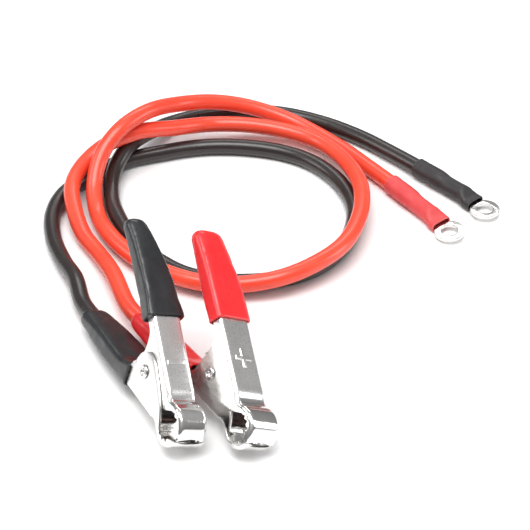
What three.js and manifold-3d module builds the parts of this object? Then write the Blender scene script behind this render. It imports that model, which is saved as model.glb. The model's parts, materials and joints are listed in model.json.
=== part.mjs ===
// A pair of jumper leads, one black and one red, lying loosely looped on a level surface.
// Each lead is a flexible cable with a sprung battery clamp on one end and a shrink-sleeved ring terminal on the other.
// Millimetres, +Z up, +X to the right and +Y away from someone who looks at the clamps' jaws.

import * as THREE from "three";
import { mergeVertices } from "three/addons/utils/BufferGeometryUtils.js";
import Module from "manifold-3d";

const wasm = await Module();
wasm.setup();

// Driving dimensions of the cable

const cableDiameter = 8.2;
const cableSides = 10;
const cableStepsPerLead = { black: 38, red: 40 };

// Driving dimensions of the clamp

const sheet = 1.1; // thickness of the pressed steel
const outerWidth = 16.5; // across the flanges of the wide half
const fitGap = 0.3; // clearance between parts that touch or nest
const pivotX = 41; // from the jaw tips to the rivet
const earRadius = 8.8; // flange round the rivet
const noseCentreX = 10.4; // centre of the round space for the post
const noseCentreZ = 0.4;
const noseRadius = 9.3; // outside of the rounded nose
const rimDepth = 2.6; // flange along the jaw, between teeth
const toothDepth = 1.1;
const teethPerRim = 4;
const lensDepth = 1.3; // how far the middle of a jaw tip is cut back from its corners
const grooveX = 18.6; // pressed groove between nose and handle web
const grooveDepth = 1.3;
const webStartX = 22.5;
const webStartZ = 8.8;
const handleSlope = THREE.MathUtils.degToRad(16.7);
const flangeEndX = 71; // flanges stop here and a narrow tongue goes on
const handleEndX = 89;
const tongueWidth = 7;
const tongueDrop = 2.6; // the tongue leans in from the web's line by this much
const handleFlange = 5.4; // flange depth under the grip
const markLength = 8.8;
const markWidth = 1.9;
const markHeight = 0.45;
const markX = { minus: 35.5, plus: 39 };

// Driving dimensions of the rivet and the spring

const rivetRadius = 2.1;
const rivetHeadRadius = 3.1;
const rivetHeadHeight = 0.7;
const rivetBore = 1.3;
const springWire = 1.8;
const springCoilRadius = 4.9; // to the middle of the wire
const springTurns = 3;
const springLegX = 58; // where the legs end, under the handle webs

// Driving dimensions of the grips

const gripWall = 1.3;
const gripSideWall = 0.9; // where the grip is stretched over the flanges' ends
const gripDepth = 9.6;
const gripEndDepth = 9.4;
const mouthRun = 11; // a deep mouth narrows to the plain depth over this length
// mouth: distance from the jaw tips. mouthDepth: how far the mouth reaches over the flanges.
// lean and sway: how far the grip's end curves in towards the other handle and to the left.
const grips = {
  black: {
    upper: { mouth: 57, length: 50, mouthWidth: 18.4, mouthDepth: 9, endWidth: 10.5, lean: 3, sway: 4 },
    lower: { mouth: 48, length: 54, mouthWidth: 19.2, mouthDepth: 12.6, endWidth: 14.5, lean: 0, sway: 2.6 },
  },
  red: {
    upper: { mouth: 57, length: 45, mouthWidth: 19.2, mouthDepth: 9, endWidth: 15.5, lean: 1.5, sway: 1.8 },
    lower: { mouth: 50, length: 51, mouthWidth: 18, mouthDepth: 12, endWidth: 14, lean: 0, sway: 1.5 },
  },
};

// Driving dimensions of the ring terminals and their shrink sleeves

const ringOutside = 15;
const ringHole = 8.4; // clears an 8 mm stud
const palmThickness = 1.7;
const palmLift = 2.2; // underside of the palm above the surface
const neckWidth = 8.4;
const barrelRadius = 3.7;
const barrelLength = 13;
const palmStart = 5; // the palm is flat this far in front of the round barrel
const barrelStart = 15.2; // from the hole's centre to the front of the round barrel
const sleeveWall = 0.65;
const sleeveMouth = 6.4; // from the hole's centre
const sleeveLength = 40;
const sleeveMouthWidth = 11;
const sleeveMouthHeight = 5.4;

// Where each clamp and terminal lies. Yaw, pitch and roll are in degrees.

const leads = {
  black: {
    cable: 0x2b2725,
    grip: 0x3a3c3f,
    sleeve: 0x4b4b4e,
    mark: "minus",
    wideHalf: "lower",
    tip: [-32, -142, 10.9],
    turn: [110, 12.3, 22.5],
    ring: [109.8, 42],
    heading: -47.5,
    ringRoll: 0,
    // route of the cable's middle, from the clamp to the terminal
    route: [
      [-90, -21, 7.6], [-97, -4, 5.2], [-103.5, 16, 4.2], [-105.5, 37, 4.2], [-101, 54.5, 4.2], [-88, 71, 4.2],
      [-70.5, 84.5, 4.2], [-54, 91, 4.2], [-33, 96.5, 4.2], [-11.5, 96.5, 4.2], [9, 91.5, 4.2], [24.5, 82, 4.2],
      [37.5, 65, 4.2], [44, 45, 4.2], [43.5, 27, 4.2], [36.5, 6.5, 4.2], [22.5, -9.5, 4.2], [6, -17, 4.3],
      [-15, -19, 4.2], [-36, -14, 4.2], [-50.5, -3, 4.2], [-63.5, 13.5, 4.2], [-72.5, 33, 4.2], [-77, 49.5, 4.8],
      [-77, 67, 8], [-71, 82, 12.7], [-60, 105, 8], [-46, 120.5, 4.5], [-25.5, 128.5, 4.2], [-4, 130, 4.2],
      [13.5, 126.5, 4.2], [33, 117.5, 4.2], [50.5, 105, 4.2], [64, 92, 4.4],
    ],
  },
  red: {
    cable: 0xe8482c,
    grip: 0xe21f26,
    sleeve: 0xd9504f,
    mark: "plus",
    wideHalf: "upper",
    tip: [-2.2, -142.6, 9.8],
    turn: [113, 13, 31.5],
    ring: [90.8, 23.4],
    heading: -55,
    ringRoll: 6,
    route: [
      [-72.5, -16.5, 7.6], [-80, 1, 5.4], [-89, 18, 5.3], [-94, 33, 8], [-96.5, 51, 11.4], [-91.5, 65.5, 14.6],
      [-80.5, 76.5, 19], [-65, 85, 21.2], [-47, 96.5, 16], [-29, 107.5, 11], [-9.5, 108.5, 10], [9, 105.5, 8.6],
      [26, 97, 7.8], [38.5, 80, 9.4], [47, 55.5, 11.8], [48, 35.5, 12.7], [44.5, 16, 12.7], [37, -1, 12.5],
      [24, -15, 12.2], [8, -24.5, 11.2], [-10.5, -27, 9], [-29.5, -25, 8.4], [-47.5, -16.5, 8], [-62.5, -3, 6.8],
      [-76, 16.5, 6.4], [-83, 35, 5.2], [-85.5, 49, 9.6], [-84.5, 59, 16.2], [-80.5, 67.5, 23], [-72, 77.5, 29],
      [-59.5, 91.5, 29.6], [-44.5, 108.5, 23], [-26, 118.5, 17.8], [-7.5, 121.5, 12.6], [12, 118, 7.2],
      [26.5, 108.5, 4.8], [40, 94.5, 4.4], [52, 78.5, 4.6],
    ],
  },
};

// Values that follow from the driving dimensions

const innerWidth = outerWidth - 2 * (sheet + fitGap);
const cableAxisZ = cableDiameter / 2 + fitGap + sleeveWall; // middle of the cable inside the sleeve
const barrelAxisZ = barrelRadius + fitGap + sleeveWall;
const slope = Math.tan(handleSlope);
const gripAlong = Math.cos(handleSlope);

// Outside of the handle web above the clamp's axis.
function webZ(x) {
  return webStartZ + slope * (x - webStartX);
}

// Solids: a closed geometry to a boolean solid and back.

function toSolid(geometry) {
  const bare = geometry.index ? geometry.toNonIndexed() : geometry.clone();
  bare.deleteAttribute("normal");
  bare.deleteAttribute("uv");
  const merged = mergeVertices(bare, 1e-4);
  return new wasm.Manifold(
    new wasm.Mesh({
      numProp: 3,
      vertProperties: merged.attributes.position.array,
      triVerts: new Uint32Array(merged.index.array),
    }),
  );
}

function toGeometry(solid) {
  const mesh = solid.getMesh();
  const geometry = new THREE.BufferGeometry();
  geometry.setAttribute("position", new THREE.BufferAttribute(mesh.vertProperties, mesh.numProp));
  geometry.setIndex(new THREE.BufferAttribute(mesh.triVerts, 1));
  geometry.computeVertexNormals();
  return geometry;
}

// An outline of (x, z) points made as wide as the clamp's width asks, centred on y = 0.
function sideExtrusion(points, width) {
  const shape = new THREE.Shape(points.map(([x, z]) => new THREE.Vector2(x, z)));
  const geometry = new THREE.ExtrudeGeometry(shape, { depth: width, bevelEnabled: false });
  geometry.rotateX(Math.PI / 2);
  geometry.translate(0, width / 2, 0);
  return geometry;
}

function polarPoint(centreX, centreZ, radius, degrees) {
  const angle = THREE.MathUtils.degToRad(degrees);
  return [centreX + radius * Math.cos(angle), centreZ + radius * Math.sin(angle)];
}

function arcPoints(centreX, centreZ, radius, fromDegrees, toDegrees, steps) {
  const points = [];
  for (let i = 0; i <= steps; i++) {
    points.push(polarPoint(centreX, centreZ, radius, fromDegrees + ((toDegrees - fromDegrees) * i) / steps));
  }
  return points;
}

// A closed skin through rings of equal length, with flat ends.
function loft(rings) {
  const count = rings[0].length;
  const positions = rings.flat().flatMap((p) => [p.x, p.y, p.z]);
  const index = [];
  for (let i = 0; i + 1 < rings.length; i++) {
    for (let j = 0; j < count; j++) {
      const a = i * count + j;
      const b = i * count + ((j + 1) % count);
      index.push(a, b, a + count, b, b + count, a + count);
    }
  }
  const last = (rings.length - 1) * count;
  for (let j = 1; j + 1 < count; j++) {
    index.push(0, j + 1, j);
    index.push(last, last + j, last + j + 1);
  }
  const geometry = new THREE.BufferGeometry();
  geometry.setAttribute("position", new THREE.Float32BufferAttribute(positions, 3));
  geometry.setIndex(index);
  geometry.computeVertexNormals();
  return geometry;
}

// A ring of points round the x axis: a rounded rectangle, squarer as its power rises.
function roundedRing(x, centreZ, width, height, power, count) {
  const ring = [];
  for (let j = 0; j < count; j++) {
    const angle = (2 * Math.PI * (j + 0.5)) / count;
    const c = Math.cos(angle);
    const s = Math.sin(angle);
    const scale = (Math.abs(c) ** power + Math.abs(s) ** power) ** (-1 / power);
    ring.push(new THREE.Vector3(x, (c * scale * width) / 2, centreZ + (s * scale * height) / 2));
  }
  return ring;
}

// The clamp's pressed halves. Each is drawn as the upper half, above the clamp's axis.

// Outside of nose, groove and handle web, from the jaw tip back; inset by a distance for the inside.
function webOutline(inset) {
  const nose = arcPoints(noseCentreX, noseCentreZ, noseRadius - inset, 180, 58, 14);
  const shoulderX = noseCentreX + noseRadius * Math.cos(THREE.MathUtils.degToRad(66)) + 2.2;
  return [
    ...nose,
    [shoulderX + 0.6, webStartZ - 0.5 - inset],
    [grooveX - 0.4, webStartZ - grooveDepth - inset],
    [grooveX + 1.6, webStartZ - grooveDepth - inset],
    [webStartX, webStartZ - inset],
    [flangeEndX, webZ(flangeEndX) - inset / gripAlong],
  ];
}

// Toothed edge of the flange along the jaw, from its back end to the tip.
function toothedRim() {
  const points = [];
  const from = 52;
  const to = 172;
  for (let i = 0; i < teethPerRim; i++) {
    const start = from + ((to - from) * i) / teethPerRim;
    const step = (to - from) / teethPerRim;
    const valley = noseRadius - rimDepth;
    const crest = valley - toothDepth;
    for (const [share, radius] of [[0, valley], [0.3, crest], [0.55, crest], [0.85, valley]]) {
      points.push(polarPoint(noseCentreX, noseCentreZ, radius, start + share * step));
    }
  }
  return points;
}

function flangeOutline() {
  return [
    [flangeEndX, webZ(flangeEndX) - handleFlange - sheet],
    [pivotX + 17, webZ(pivotX + 17) - handleFlange],
    [pivotX + 10.5, 9.6],
    ...arcPoints(pivotX, 0, earRadius, 18, -136, 12),
    [27.3, -4.4],
    [22.4, -1.6],
    [18.6, 3.2],
    ...toothedRim(),
    [noseCentreX - noseRadius + sheet, noseCentreZ],
  ];
}

// The tongue that goes on from the web's end, from the side, grown by a clearance.
function tongueOutline(grow) {
  const fromX = flangeEndX - 3 * sheet;
  const end = webZ(handleEndX) - tongueDrop;
  return [
    [fromX, webZ(fromX) + grow],
    [fromX, webZ(fromX) - sheet / gripAlong - grow],
    [handleEndX + grow, end - sheet / gripAlong - grow],
    [handleEndX + grow, end + grow],
  ];
}

// A bar standing on the handle web, along the clamp or across it.
function webBar(x, along, across) {
  const depth = markHeight + 0.4;
  const bar = new THREE.BoxGeometry(along, across, depth);
  bar.translate(0, 0, markHeight - depth / 2);
  bar.rotateY(-handleSlope);
  bar.translate(x, 0, webZ(x));
  return bar;
}

function pressedHalf(width, mark) {
  const below = -40;
  const outside = sideExtrusion([...webOutline(0), ...flangeOutline()], width);
  const inside = sideExtrusion(
    [...webOutline(sheet), [flangeEndX + 5, webZ(flangeEndX)], [flangeEndX + 5, below], [-5, below], [-5, noseCentreZ]],
    width - 2 * sheet,
  );
  const tongue = sideExtrusion(tongueOutline(0), tongueWidth);
  const hole = new THREE.CylinderGeometry(rivetRadius + fitGap, rivetRadius + fitGap, outerWidth * 2, 20);
  hole.translate(pivotX, 0, 0);

  // The lens-shaped gap between the closed tips: an arc cut across each tip.
  const chord = innerWidth / 2 - 0.4;
  const lensRadius = (chord * chord + lensDepth * lensDepth) / (2 * lensDepth);
  const lens = new THREE.CylinderGeometry(lensRadius, lensRadius, 8, 96);
  lens.rotateZ(Math.PI / 2);
  lens.translate(1, 0, noseCentreZ + lensDepth - lensRadius);

  let solid = toSolid(outside).subtract(toSolid(inside)).add(toSolid(tongue)).subtract(toSolid(hole));
  solid = solid.subtract(toSolid(lens));
  if (mark) solid = solid.add(toSolid(webBar(markX[mark], markWidth, markLength)));
  if (mark === "plus") solid = solid.add(toSolid(webBar(markX[mark], markLength, markWidth)));
  return toGeometry(solid);
}

// From a place along and above the handle's web, measured from a grip's mouth, to the clamp's x and z.
function alongHandle(mouth, s, h) {
  return [
    mouth + s * gripAlong - h * Math.sin(handleSlope),
    webZ(mouth) + s * Math.sin(handleSlope) + h * gripAlong,
  ];
}

// Where the middle of a grip's round end lies, in the handle's own direction.
function gripEnd({ length, lean, sway }) {
  return { s: length, h: gripWall - gripEndDepth / 2 - lean, y: sway };
}

// The vinyl grip round a handle, drawn in the handle's own direction from the mouth at s = 0.
function gripSolid(width, grip, leftSign) {
  const { mouth, length, mouthWidth, mouthDepth, endWidth, lean, sway } = grip;
  const flangeRun = (flangeEndX - mouth) / gripAlong;
  const flangeFit = width + 2 * (fitGap + gripSideWall);
  const rings = [];
  // share of the length, and how much the rounded end has drawn in there
  for (const [share, drawnIn] of [[0, 0], [0.1, 0], [0.2, 0], [0.4, 0], [0.6, 0], [0.8, 0], [0.94, 0.03], [0.985, 0.14], [1, 0.34]]) {
    const s = share * length;
    const bend = share * share;
    const past = Math.max(0, (s - flangeRun) / (length - flangeRun));
    const openDepth = THREE.MathUtils.lerp(mouthDepth, gripDepth, Math.min(1, s / mouthRun));
    const depth = THREE.MathUtils.lerp(openDepth, gripEndDepth, share);
    const mouthPart = THREE.MathUtils.lerp(mouthWidth, flangeFit, Math.min(1, s / flangeRun));
    const wide = THREE.MathUtils.lerp(mouthPart, endWidth, past);
    const shrink = drawnIn * gripEndDepth;
    const power = THREE.MathUtils.lerp(6, 2.5, past);
    const ring = roundedRing(s, gripWall - depth / 2 - lean * bend, wide - shrink, depth - shrink, power, 24);
    for (const point of ring) point.y += leftSign * sway * bend;
    rings.push(ring);
  }
  const skin = loft(rings);
  skin.rotateY(-handleSlope);
  skin.translate(mouth, 0, webZ(mouth));

  // The handle inside the grip, with the clearance all round it.
  const before = -6;
  const flangeDepth = handleFlange + fitGap + sheet;
  const mouthPocket = mouthDepth - gripWall - gripSideWall;
  const pocket = sideExtrusion(
    [
      alongHandle(mouth, before, fitGap),
      alongHandle(mouth, before, -mouthPocket),
      alongHandle(mouth, 0, -mouthPocket),
      alongHandle(mouth, mouthRun, -flangeDepth),
      [flangeEndX + fitGap, webZ(flangeEndX) - flangeDepth],
      [flangeEndX + fitGap, webZ(flangeEndX) + fitGap],
    ],
    width + 2 * fitGap,
  );
  const tonguePocket = sideExtrusion(tongueOutline(fitGap), tongueWidth + 2 * fitGap);
  return toGeometry(toSolid(skin).subtract(toSolid(pocket)).subtract(toSolid(tonguePocket)));
}

// A tubular rivet whose axis is the clamp's y axis.
function rivetSolid() {
  const reach = outerWidth / 2 + fitGap;
  const head = reach + rivetHeadHeight;
  const profile = [
    [rivetBore, -head], [rivetHeadRadius - 0.6, -head], [rivetHeadRadius, -head + 0.5], [rivetHeadRadius, -reach],
    [rivetRadius, -reach], [rivetRadius, reach], [rivetHeadRadius, reach], [rivetHeadRadius, head - 0.5],
    [rivetHeadRadius - 0.6, head], [rivetBore, head], [rivetBore, -head],
  ];
  const geometry = new THREE.LatheGeometry(profile.map(([r, y]) => new THREE.Vector2(r, y)), 24);
  geometry.translate(pivotX, 0, 0);
  return geometry;
}

// A torsion spring: a coil round the rivet and two straight legs under the handle webs.
function springSolid() {
  const legClear = sheet + fitGap + springWire / 2;
  const legZ = webZ(springLegX) - legClear / gripAlong;
  const legDistance = Math.hypot(springLegX - pivotX, legZ);
  const legAngle = Math.atan2(legZ, springLegX - pivotX);
  const leave = legAngle + Math.acos(springCoilRadius / legDistance);
  const sweep = springTurns * 2 * Math.PI + 2 * (Math.PI - leave);
  const pitch = springWire + 0.35;
  const rise = (pitch * sweep) / (2 * Math.PI);
  const points = [];
  const legPoints = 4;
  const coilPoints = 16 * springTurns;
  const tangentX = pivotX + springCoilRadius * Math.cos(leave);
  const tangentZ = springCoilRadius * Math.sin(leave);
  for (let i = 0; i < legPoints; i++) {
    const t = i / legPoints;
    const x = THREE.MathUtils.lerp(springLegX, tangentX, t);
    const z = THREE.MathUtils.lerp(legZ, tangentZ, t);
    points.push(new THREE.Vector3(x, -rise / 2, z));
  }
  for (let i = 0; i <= coilPoints; i++) {
    const t = i / coilPoints;
    const angle = leave + sweep * t;
    const x = pivotX + springCoilRadius * Math.cos(angle);
    points.push(new THREE.Vector3(x, rise * (t - 0.5), springCoilRadius * Math.sin(angle)));
  }
  for (let i = legPoints - 1; i >= 0; i--) {
    const start = points[i];
    points.push(new THREE.Vector3(start.x, rise / 2, -start.z));
  }
  const section = new THREE.Shape();
  section.absarc(0, 0, springWire / 2, 0, 2 * Math.PI);
  return new THREE.ExtrudeGeometry(section, {
    steps: 78,
    curveSegments: 4,
    bevelEnabled: false,
    extrudePath: new THREE.CatmullRomCurve3(points),
  });
}

// The ring terminal, lying along x with the hole's centre at x = 0.
function ringTerminalSolid() {
  const outline = new THREE.Shape();
  const neck = neckWidth / 2;
  const meet = Math.asin(neck / (ringOutside / 2));
  outline.absarc(0, 0, ringOutside / 2, -Math.PI + meet, Math.PI - meet);
  outline.lineTo(-barrelStart + palmStart, neck);
  outline.lineTo(-barrelStart + palmStart, -neck);
  const hole = new THREE.Path();
  hole.absarc(0, 0, ringHole / 2, 0, 2 * Math.PI);
  outline.holes.push(hole);
  const palm = new THREE.ExtrudeGeometry(outline, { depth: palmThickness, bevelEnabled: false, curveSegments: 20 });
  palm.translate(0, 0, palmLift);

  const palmZ = palmLift + palmThickness / 2;
  const barrel = loft([
    roundedRing(-barrelStart - barrelLength, barrelAxisZ, 2 * barrelRadius, 2 * barrelRadius, 2, 20),
    roundedRing(-barrelStart, barrelAxisZ, 2 * barrelRadius, 2 * barrelRadius, 2, 20),
    roundedRing(-barrelStart + palmStart - 1, palmZ + 0.4, neckWidth - 0.6, palmThickness + 0.8, 2.4, 20),
    roundedRing(-barrelStart + palmStart + 1, palmZ, neckWidth - 0.4, palmThickness - 0.1, 3, 20),
  ]);
  return toGeometry(toSolid(palm).add(toSolid(barrel)));
}

// The shrink sleeve over the cable's end and the terminal's barrel.
function sleeveSolid() {
  const overCable = 2 * (cableDiameter / 2 + fitGap);
  const overBarrel = 2 * (barrelRadius + fitGap);
  const barrelEnd = -barrelStart - barrelLength;
  const palmZ = palmLift + palmThickness / 2;
  // inside of the sleeve: place, height of its middle, width, height and squareness
  const stations = [
    [-sleeveMouth - sleeveLength, cableAxisZ, overCable, overCable, 2],
    [barrelEnd - 3, cableAxisZ, overCable, overCable, 2],
    [barrelEnd + 2, barrelAxisZ, overBarrel, overBarrel, 2],
    [-barrelStart + 0.8, barrelAxisZ, overBarrel, overBarrel, 2.2],
    [-barrelStart + palmStart, palmZ + 0.5, sleeveMouthWidth - 1.4, sleeveMouthHeight - 1, 4],
    [-sleeveMouth, palmZ + 0.2, sleeveMouthWidth - 2 * sleeveWall, sleeveMouthHeight - 2 * sleeveWall, 4],
  ];
  const skin = (grow, reach) =>
    loft(
      stations.map(([x, z, w, h, power], i) => {
        const past = i === 0 ? -reach : i === stations.length - 1 ? reach : 0;
        return roundedRing(x + past, z, w + 2 * grow, h + 2 * grow, power, 24);
      }),
    );
  return toGeometry(toSolid(skin(sleeveWall, 0)).subtract(toSolid(skin(0, 0.5))));
}

// Placing. A clamp's x runs from its tips to its handles, y to the left and z to its upper half.

function clampMatrix({ tip, turn }) {
  const [yaw, pitch, roll] = turn.map(THREE.MathUtils.degToRad);
  const along = new THREE.Vector3(
    Math.cos(pitch) * Math.cos(yaw), Math.cos(pitch) * Math.sin(yaw), Math.sin(pitch),
  );
  const level = new THREE.Vector3(-Math.sin(yaw), Math.cos(yaw), 0);
  const up = new THREE.Vector3().crossVectors(along, level);
  const left = level.clone().multiplyScalar(Math.cos(roll)).addScaledVector(up, Math.sin(roll));
  const top = up.clone().multiplyScalar(Math.cos(roll)).addScaledVector(level, -Math.sin(roll));
  return new THREE.Matrix4().makeBasis(along, left, top).setPosition(...tip);
}

function terminalMatrix({ ring, heading, ringRoll }) {
  const turn = new THREE.Matrix4().makeRotationZ(THREE.MathUtils.degToRad(heading));
  const roll = new THREE.Matrix4().makeRotationX(THREE.MathUtils.degToRad(ringRoll));
  const lift = new THREE.Matrix4().makeTranslation(0, 0, cableAxisZ);
  const lower = new THREE.Matrix4().makeTranslation(0, 0, -cableAxisZ);
  turn.setPosition(ring[0], ring[1], 0);
  return turn.multiply(lift).multiply(roll).multiply(lower);
}

// The cable leaves the lower grip's end face and ends inside the sleeve, against the barrel.
function cableSolid(name, lead) {
  const clamp = clampMatrix(lead);
  const end = gripEnd(grips[name].lower);
  const [exitX, exitZ] = alongHandle(grips[name].lower.mouth, end.s, end.h);
  const exit = new THREE.Vector3(exitX, end.y, -exitZ).applyMatrix4(clamp);
  const outward = new THREE.Vector3(gripAlong, 0, -Math.sin(handleSlope)).transformDirection(clamp);
  const terminal = terminalMatrix(lead);
  const inSleeve = new THREE.Vector3(-barrelStart - barrelLength - 3, 0, cableAxisZ).applyMatrix4(terminal);
  const atSleeve = new THREE.Vector3(-sleeveMouth - sleeveLength - 2, 0, cableAxisZ).applyMatrix4(terminal);
  const points = [
    exit.clone().addScaledVector(outward, fitGap),
    exit.clone().addScaledVector(outward, 12),
    ...lead.route.map(([x, y, z]) => new THREE.Vector3(x, y, z)),
    atSleeve,
    inSleeve,
  ];
  const section = new THREE.Shape();
  for (let i = 0; i < cableSides; i++) {
    const angle = (2 * Math.PI * i) / cableSides;
    section[i ? "lineTo" : "moveTo"]((cableDiameter / 2) * Math.cos(angle), (cableDiameter / 2) * Math.sin(angle));
  }
  section.closePath();
  return new THREE.ExtrudeGeometry(section, {
    steps: cableStepsPerLead[name],
    bevelEnabled: false,
    extrudePath: new THREE.CatmullRomCurve3(points),
  });
}

// The finished assembly

function part(name, geometry, colour, roughness, metalness) {
  const mesh = new THREE.Mesh(geometry, new THREE.MeshStandardMaterial({ color: colour, roughness, metalness }));
  mesh.name = name;
  return mesh;
}

function clampGroup(name, lead) {
  const wideUpper = lead.wideHalf === "upper";
  const upperWidth = wideUpper ? outerWidth : innerWidth;
  const lowerWidth = wideUpper ? innerWidth : outerWidth;
  const clamp = new THREE.Group();
  clamp.applyMatrix4(clampMatrix(lead));
  const lower = new THREE.Group();
  lower.rotation.x = Math.PI;
  clamp.add(part(`${name}_upper_jaw`, pressedHalf(upperWidth, lead.mark), 0xc9cacb, 0.25, 1));
  clamp.add(part(`${name}_upper_grip`, gripSolid(upperWidth, grips[name].upper, 1), lead.grip, 0.4, 0));
  clamp.add(part(`${name}_pivot_rivet`, rivetSolid(), 0xbfc0c1, 0.3, 1));
  clamp.add(part(`${name}_torsion_spring`, springSolid(), 0x9c9d9f, 0.35, 1));
  lower.add(part(`${name}_lower_jaw`, pressedHalf(lowerWidth, null), 0xc9cacb, 0.25, 1));
  lower.add(part(`${name}_lower_grip`, gripSolid(lowerWidth, grips[name].lower, -1), lead.grip, 0.4, 0));
  clamp.add(lower);
  return clamp;
}

function terminalGroup(name, lead) {
  const terminal = new THREE.Group();
  terminal.applyMatrix4(terminalMatrix(lead));
  terminal.add(part(`${name}_ring_terminal`, ringTerminalSolid(), 0xc8b9a8, 0.3, 1));
  terminal.add(part(`${name}_heat_shrink`, sleeveSolid(), lead.sleeve, 0.6, 0));
  return terminal;
}

const jumperCable = new THREE.Group();
for (const [name, lead] of Object.entries(leads)) {
  jumperCable.add(clampGroup(name, lead));
  jumperCable.add(terminalGroup(name, lead));
  jumperCable.add(part(`${name}_cable`, cableSolid(name, lead), lead.cable, 0.35, 0));
}

// The origin lies on the surface, under the middle of everything but the two cables.
const cordless = new THREE.Box3();
for (const mesh of jumperCable.children.filter((child) => !child.isMesh)) cordless.expandByObject(mesh, true);
const middle = cordless.getCenter(new THREE.Vector3());
jumperCable.position.set(-middle.x, -middle.y, -cordless.min.z);

export default jumperCable;
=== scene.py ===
# The looks of a pair of jumper leads, one black and one red, lying loosely looped on a floor.
# The frame is in metres. Shapes are worked out in millimetres, in each clamp's or terminal's own axes or,
# for the cables, in the frame's, and place() scales them to metres.

import json
import math

import bmesh
import bpy
import numpy as np
from mathutils import Matrix, Vector, noise


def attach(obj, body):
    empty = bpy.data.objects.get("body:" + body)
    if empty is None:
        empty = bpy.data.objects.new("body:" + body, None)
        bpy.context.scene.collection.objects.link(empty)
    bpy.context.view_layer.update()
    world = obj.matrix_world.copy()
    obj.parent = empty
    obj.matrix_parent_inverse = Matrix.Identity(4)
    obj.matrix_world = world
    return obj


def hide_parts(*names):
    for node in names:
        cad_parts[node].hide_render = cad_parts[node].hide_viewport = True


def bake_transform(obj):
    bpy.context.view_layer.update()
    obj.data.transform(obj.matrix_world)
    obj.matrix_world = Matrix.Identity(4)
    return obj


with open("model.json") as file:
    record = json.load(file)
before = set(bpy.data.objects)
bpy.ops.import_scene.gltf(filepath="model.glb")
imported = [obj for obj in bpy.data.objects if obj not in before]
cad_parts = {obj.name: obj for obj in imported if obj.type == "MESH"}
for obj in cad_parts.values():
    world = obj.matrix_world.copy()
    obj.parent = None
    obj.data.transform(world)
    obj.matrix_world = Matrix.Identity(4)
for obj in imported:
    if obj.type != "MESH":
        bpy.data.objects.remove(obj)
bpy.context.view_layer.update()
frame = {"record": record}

MM = 0.001

# Cable

CABLE_DIAMETER = 8.2
CABLE_SIDES = 32
CABLE_STEP = 2.2 # between the tube's rings
CABLE_INSIDE = 3 # the tube starts this far inside the grip's end
CABLE_STRAIGHT = 12 # straight run out of the grip
CABLE_BEFORE_SLEEVE = 2
CABLE_BEFORE_BARREL = 3
ROUTE_STEPS = 24 # points between two places of a route, before they are spread evenly

# Clamp halves

SHEET = 1.1
OUTER_WIDTH = 16.5
FIT_GAP = 0.3
INNER_WIDTH = OUTER_WIDTH - 2 * (SHEET + FIT_GAP)
PIVOT_X = 41 # from the jaws' tips
NOSE_CENTRE = (10.4, 0.4)
NOSE_RADIUS = 9.3
NOSE_END = 72 # where the round nose runs into the groove, in degrees
NOSE_STEP = 2.5 # degrees between sections of the nose
RIM_DEPTH = 2.6
TOOTH_DEPTH = 1.1
TEETH_PER_RIM = 4
TEETH_FROM = 52 # degrees round the nose's centre
TEETH_TO = 172
LENS_DEPTH = 1.3 # how far the middle of a tip is cut back from its corners
LENS_REACH = INNER_WIDTH / 2 - 0.4
LENS_FADE = 30 # the cut fades out over this many degrees
BEND_RADIUS = 1.6
EDGE_BEVEL = 0.16
FLANGE_STEPS = 5
BEND_STEPS = 6
WEB_STEPS = 6
STATION_STEPS = 4 # sections between two of the stations behind the nose
HOLE_SIDES = 40
WEB_START = (22.5, 8.8)
HANDLE_SLOPE = math.radians(16.7)
FLANGE_END_X = 71
HANDLE_FLANGE = 5.4
SATIN_FROM = 15 # polished up to here, and satin from SATIN_RUN further back
SATIN_RUN = 9

# Plus and minus marks

MARK_LENGTH = 8.8
MARK_WIDTH = 1.9
MARK_HEIGHT = 0.45
MARK_SUNK = 0.5

# Rivet and spring

RIVET_RADIUS = 2.1
RIVET_HEAD_RADIUS = 3.1
RIVET_HEAD_HEIGHT = 0.7
RIVET_BORE = 1.3
DIMPLE_DEPTH = 0.5
SPRING_WIRE = 1.8
SPRING_COIL_RADIUS = 4.9
SPRING_TURNS = 3
SPRING_TURN_GAP = 0.35
SPRING_LEG_X = 58
RIVET_SIDES = 48
RIM_STEPS = 12
SPRING_SIDES = 14
SPRING_LEG_STEPS = 8
SPRING_TURN_STEPS = 36

# Grips

GRIP_WALL = 1.3
GRIP_SIDE_WALL = 0.9
GRIP_DEPTH = 9.6
GRIP_END_DEPTH = 9.4
GRIP_END_ROUND = 4.2 # the end draws in over this length
GRIP_END_DRAW = 0.40 # and by this share of its depth
MOUTH_RUN = 11
GRIP_SIDES = 56
GRIP_RINGS = 44
GRIP_END_RINGS = 8
DENT_DEPTH = 0.45
CREASE_DEPTH = 0.16

# Ring terminal and shrink sleeve

RING_OUTSIDE = 15
RING_HOLE = 8.4
RING_STEPS = 64
PALM_THICKNESS = 1.7
PALM_LIFT = 2.2
PALM_EDGE = 0.35
PALM_START = 5
PALM_Z = PALM_LIFT + PALM_THICKNESS / 2
NECK_WIDTH = 8.4
BARREL_RADIUS = 3.7
BARREL_LENGTH = 13
BARREL_START = 15.2
BARREL_END = BARREL_START + BARREL_LENGTH
BARREL_SIDES = 32
BARREL_STEPS = 4
SLEEVE_WALL = 0.65
SLEEVE_MOUTH = 6.4
SLEEVE_LENGTH = 40
SLEEVE_END = SLEEVE_MOUTH + SLEEVE_LENGTH
SLEEVE_MOUTH_WIDTH = 11
SLEEVE_MOUTH_HEIGHT = 5.4
SLEEVE_LIP = 0.12
SLEEVE_SIDES = 48
SLEEVE_STEPS = 7
WRINKLE_DEPTH = 0.28
CABLE_AXIS_Z = CABLE_DIAMETER / 2 + FIT_GAP + SLEEVE_WALL
BARREL_AXIS_Z = BARREL_RADIUS + FIT_GAP + SLEEVE_WALL

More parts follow.
